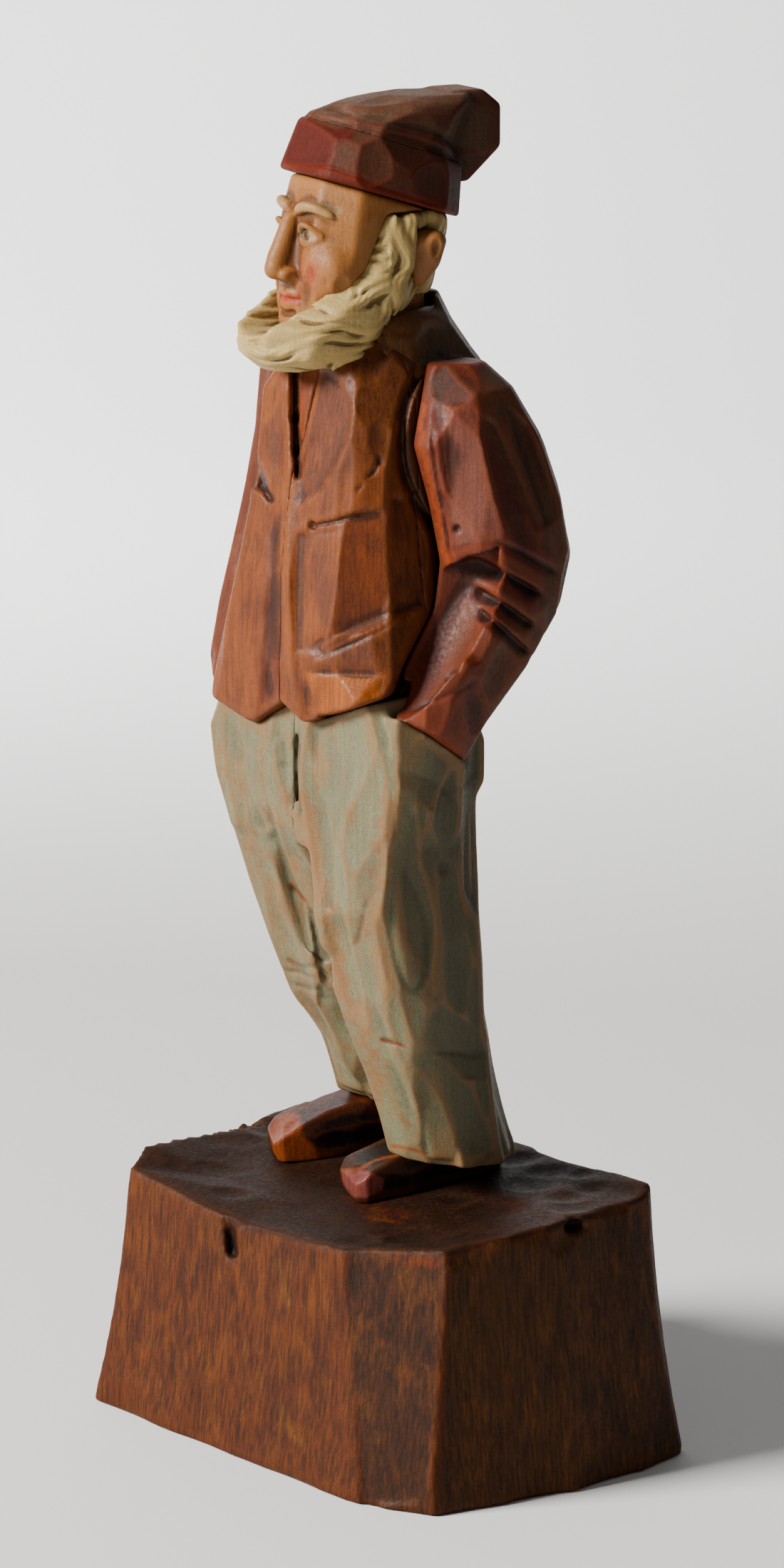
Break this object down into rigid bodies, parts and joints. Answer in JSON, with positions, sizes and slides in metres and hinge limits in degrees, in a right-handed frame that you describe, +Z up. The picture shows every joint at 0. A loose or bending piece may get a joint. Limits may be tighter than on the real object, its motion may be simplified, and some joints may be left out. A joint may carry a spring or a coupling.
{
  "type": "carved wooden figurine",
  "caption": "Hand-carved, painted wooden figurine of a bearded old fellow in a cap and waistcoat, hands in his trouser pockets, standing on a block plinth.",
  "frame": {"origin": "centre of the plinth's underside", "axes": "+Z up along the figure, -Y the way the figure faces, +X towards the figure's left hand"},
  "size_m": [0.08, 0.0524, 0.2002],
  "materials": {
    "plinth": "stained, matt",
    "shoes": "stained, satin",
    "trousers": "thin grey-green paint over bare wood, matt",
    "waistcoat": "stained, satin",
    "collar": "dark stain, satin",
    "shirt": "stained, satin",
    "sleeves": "red-brown stain, satin",
    "skin": "thin flesh paint, satin",
    "hair": "cream paint, satin",
    "cap": "dark red paint, satin"
  },
  "bodies": {
    "root": {"plinth": "plinth", "left_shoe": "shoes", "right_shoe": "shoes", "left_trouser_half": "trousers", "right_trouser_half": "trousers", "vest_left_front": "waistcoat", "vest_right_front": "waistcoat", "vest_back": "waistcoat", "vest_collar": "collar", "shirt_front": "shirt", "left_sleeve": "sleeves", "right_sleeve": "sleeves", "neck": "skin", "head": "skin", "left_ear": "skin", "right_ear": "skin", "hair": "hair", "beard": "hair", "cap_band": "cap", "cap_crown": "cap"}
  },
  "joints": []
}
